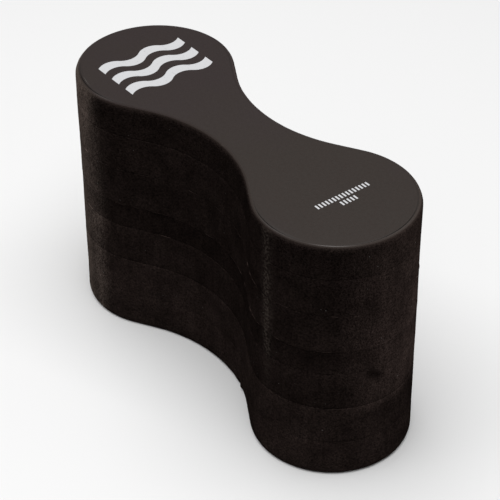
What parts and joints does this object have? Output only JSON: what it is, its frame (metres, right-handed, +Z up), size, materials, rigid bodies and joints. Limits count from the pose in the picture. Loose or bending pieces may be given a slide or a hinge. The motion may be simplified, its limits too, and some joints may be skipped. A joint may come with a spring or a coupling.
{
  "type": "pull buoy",
  "caption": "Figure-eight pull buoy of bonded black foam sheets, held between a swimmer's thighs to float the legs.",
  "frame": {"origin": "centre of the flat base face, on the surface that the buoy stands on", "axes": "+Z up through the stack of foam sheets, X along the figure eight from lobe to lobe with the wave print on the -X lobe, Y across the buoy"},
  "size_m": [0.235, 0.085, 0.146],
  "materials": {
    "black_eva_foam": "matte",
    "bond_adhesive": "satin",
    "white_ink": "matte"
  },
  "bodies": {
    "root": {"foam_sheet_1_base": "black_eva_foam", "foam_sheet_2": "black_eva_foam", "foam_sheet_3": "black_eva_foam", "foam_sheet_4_thin": "black_eva_foam", "foam_sheet_5": "black_eva_foam", "foam_sheet_6": "black_eva_foam", "foam_sheet_7_top": "black_eva_foam", "bond_film_1_2": "bond_adhesive", "bond_film_2_3": "bond_adhesive", "bond_film_3_4": "bond_adhesive", "bond_film_4_5": "bond_adhesive", "bond_film_5_6": "bond_adhesive", "bond_film_6_7": "bond_adhesive", "wave_print": "white_ink", "batch_ticks_print": "white_ink"}
  },
  "joints": []
}
